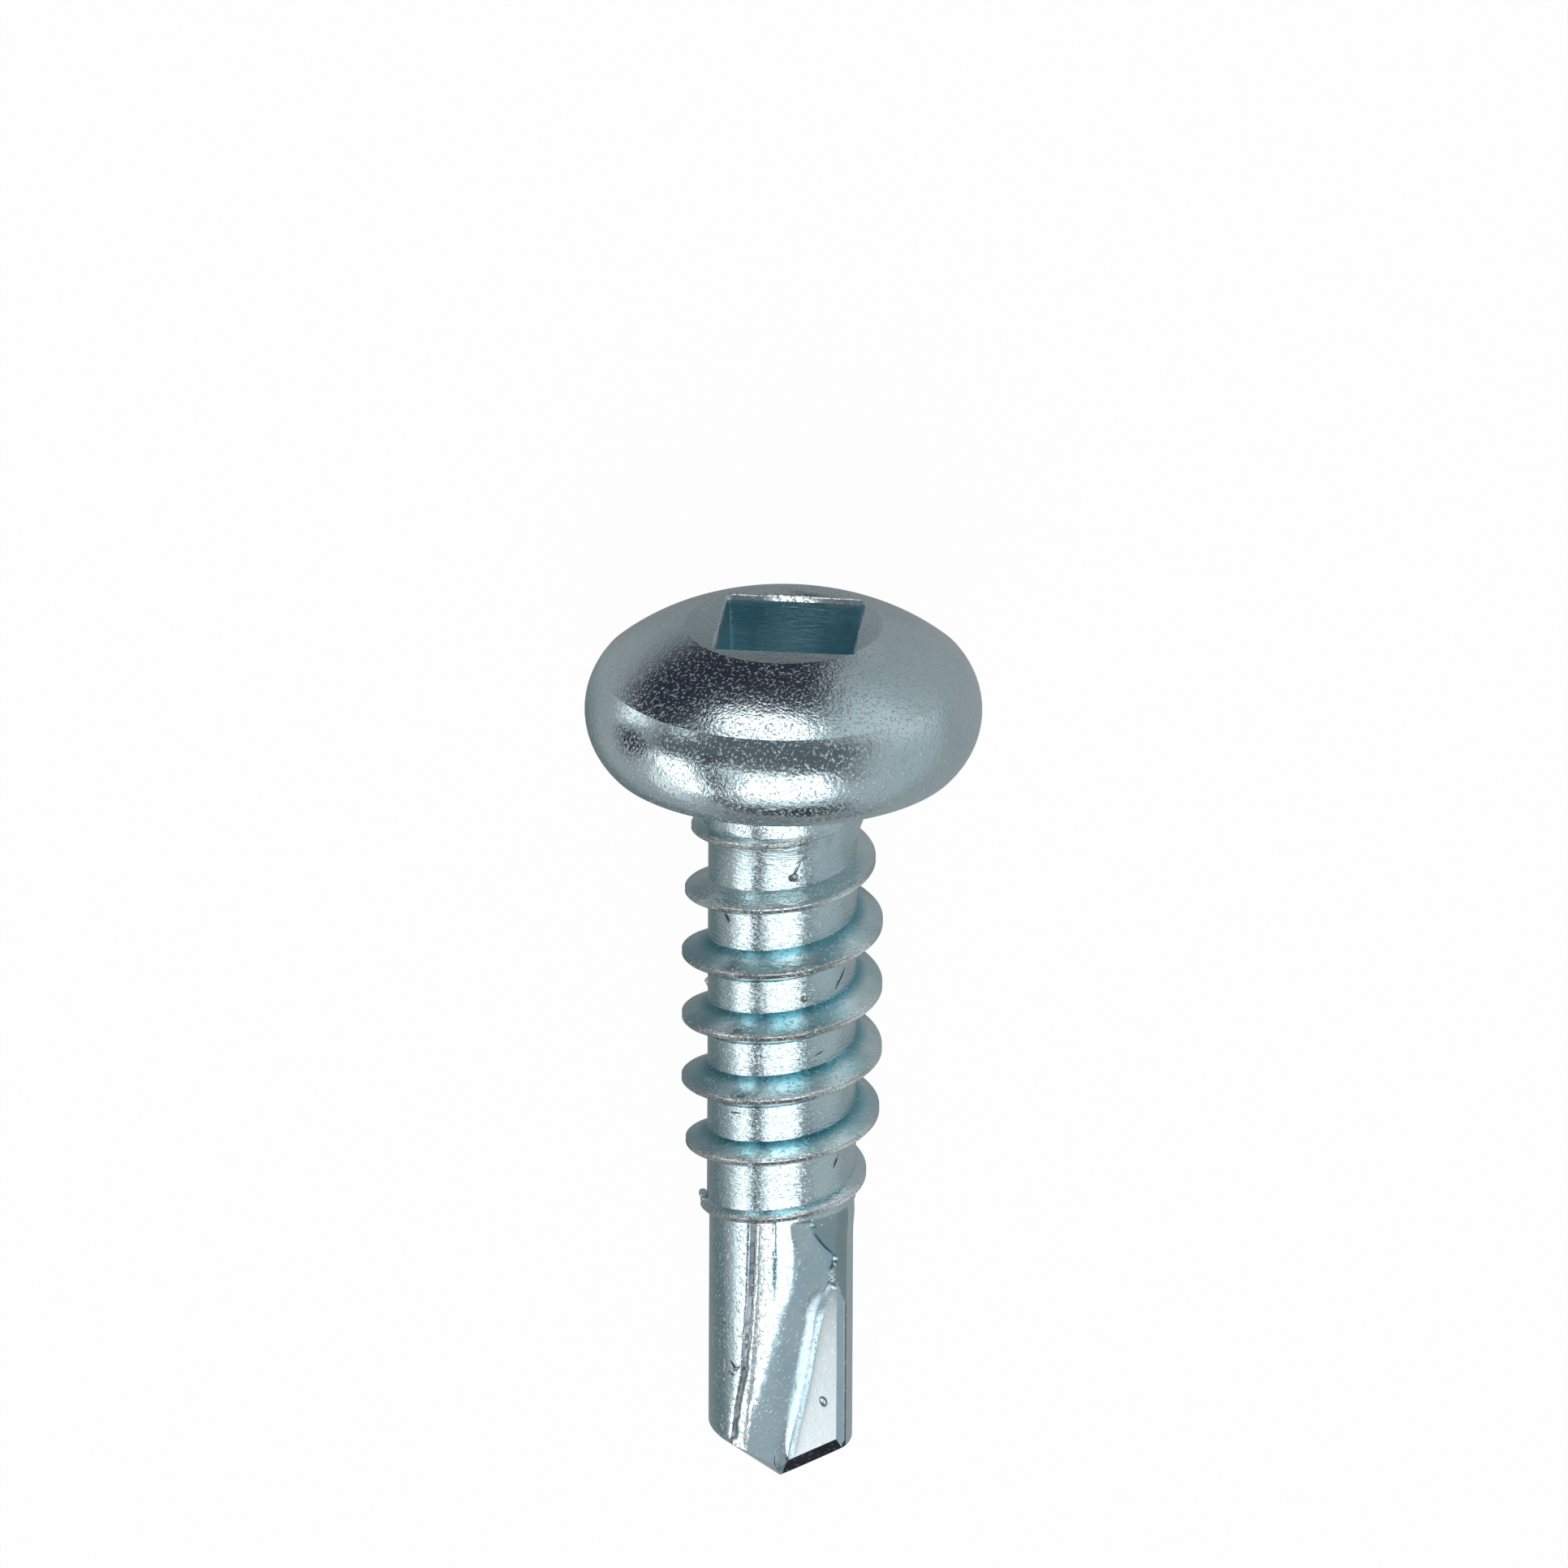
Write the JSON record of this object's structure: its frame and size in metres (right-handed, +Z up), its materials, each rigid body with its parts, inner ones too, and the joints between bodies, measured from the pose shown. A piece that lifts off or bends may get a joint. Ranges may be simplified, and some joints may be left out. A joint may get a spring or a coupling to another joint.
{
  "type": "self drilling screw",
  "caption": "Zinc plated self drilling screw with a pan head, a square drive recess, a coarse thread and a fluted drill point, lying on its side.",
  "frame": {"origin": "on the surface that the screw lies on, under the middle of its length and width", "axes": "+Z up; +Y along the surface from the tip towards the head; +X to the right when the head points away"},
  "size_m": [0.008, 0.019, 0.008],
  "materials": {
    "zinc_plated_steel": "satin bright zinc plating with a faint blue tint"
  },
  "bodies": {
    "root": {"screw": "zinc_plated_steel"}
  },
  "joints": []
}
